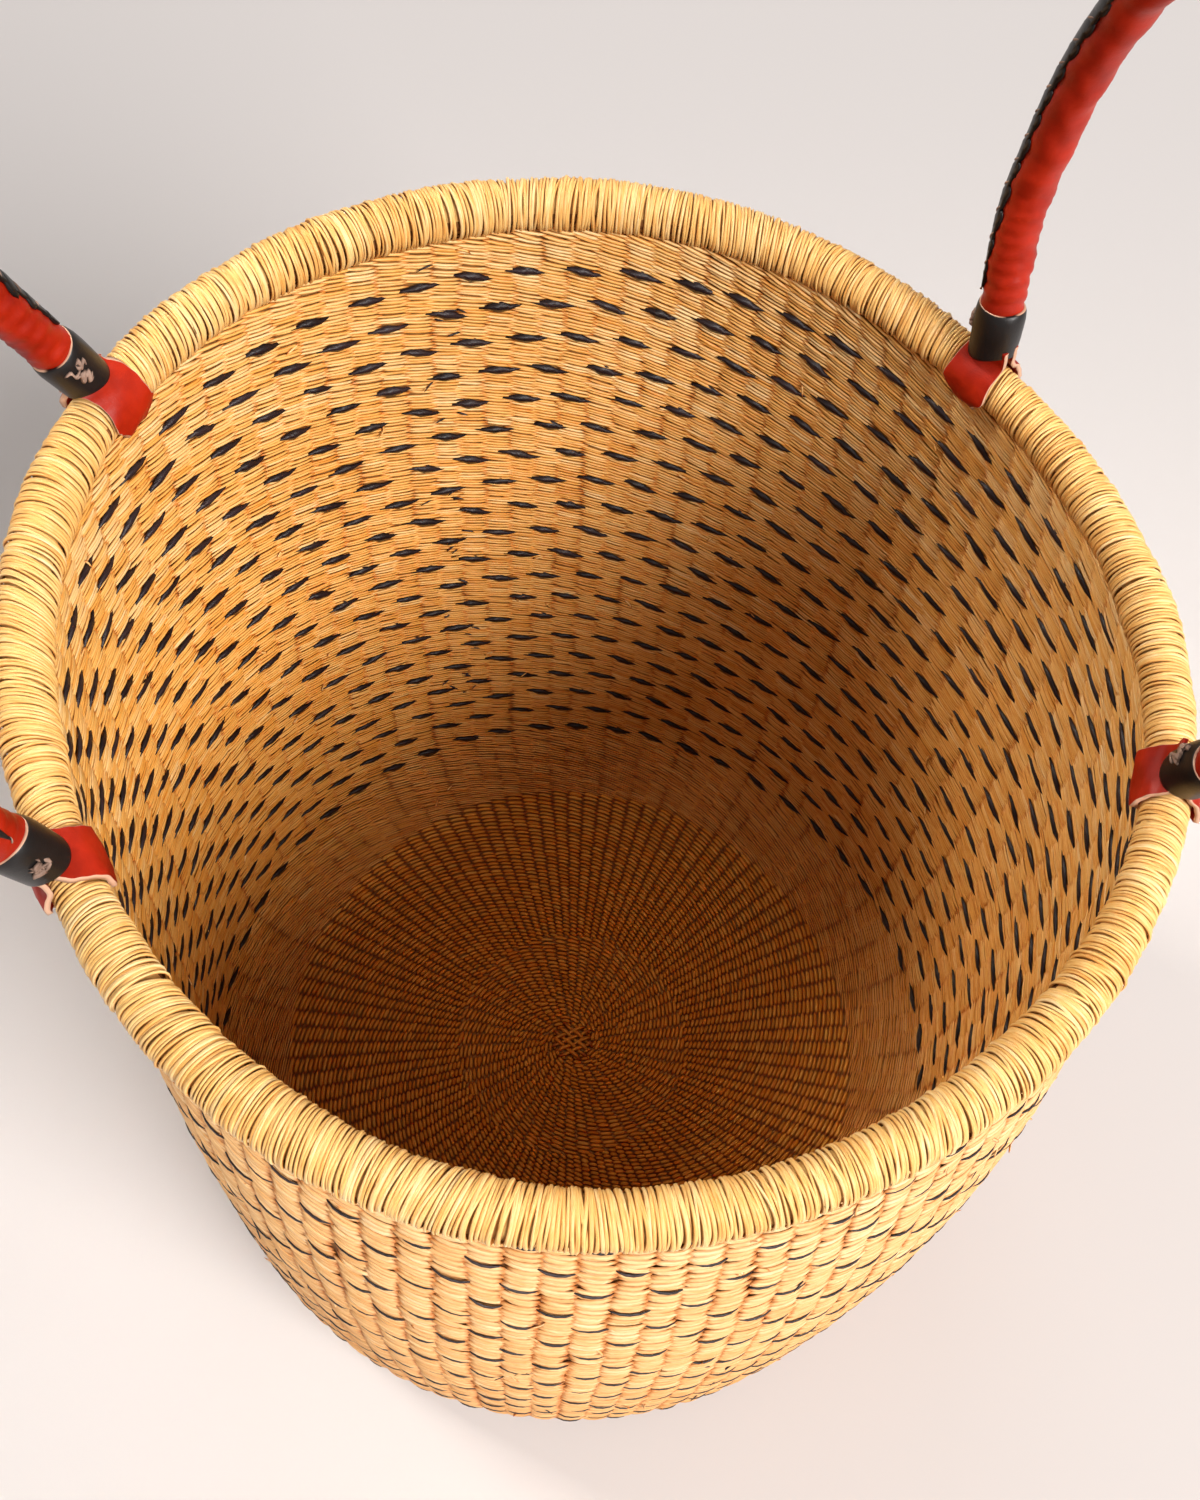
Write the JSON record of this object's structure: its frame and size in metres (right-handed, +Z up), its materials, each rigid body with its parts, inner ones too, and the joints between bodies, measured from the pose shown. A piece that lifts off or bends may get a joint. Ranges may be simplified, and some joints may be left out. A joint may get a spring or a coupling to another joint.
{
  "type": "bolga basket",
  "caption": "Round deep woven grass basket with a thick wrapped rim, a flat floor and leather covered hoop handles that swing on straps round the rim",
  "frame": {"origin": "the middle of the flat underside, where the basket stands on the floor", "axes": "+Z up from the floor to the rim and handles; +X to the side of the handle with the wider arch; +Y to the side where the rim stands highest"},
  "size_m": [0.4848, 0.4071, 0.6444],
  "materials": {
    "woven_grass": "natural golden straw, twined weave with dark dashes",
    "grass_core": "plain bundled straw",
    "red_leather": "smooth dyed leather, slightly glossy and creased",
    "black_leather": "dyed leather with light scuffs",
    "tan_leather": "undyed cut leather"
  },
  "bodies": {
    "basket": {"woven_wall": "woven_grass", "woven_floor": "woven_grass", "floor_center_cross": "woven_grass", "rim_core": "grass_core", "rim_wrapping": "woven_grass", "right_front_strap": "red_leather", "right_back_strap": "red_leather", "left_back_strap": "red_leather", "left_front_strap": "red_leather"},
    "right_handle": {"right_handle_core": "grass_core", "right_handle_cover": "red_leather", "right_handle_lacing": "black_leather", "right_front_cuff": "black_leather", "right_front_knot": "tan_leather", "right_back_cuff": "black_leather", "right_back_knot": "tan_leather"},
    "left_handle": {"left_handle_core": "grass_core", "left_handle_cover": "red_leather", "left_handle_lacing": "black_leather", "left_back_cuff": "black_leather", "left_back_knot": "tan_leather", "left_front_cuff": "black_leather", "left_front_knot": "tan_leather"}
  },
  "joints": [
    {"name": "right_handle_swing", "type": "hinge", "parent": "basket", "child": "right_handle", "pos_m": [0.14741, 0.0723, 0.39673], "axis": [-0.385, 0.921, 0.0598], "range_deg": [-40, 90]},
    {"name": "left_handle_swing", "type": "hinge", "parent": "basket", "child": "left_handle", "pos_m": [-0.18142, -0.01231, 0.40243], "axis": [0.1794, -0.9763, -0.121], "range_deg": [-62, 68]}
  ]
}
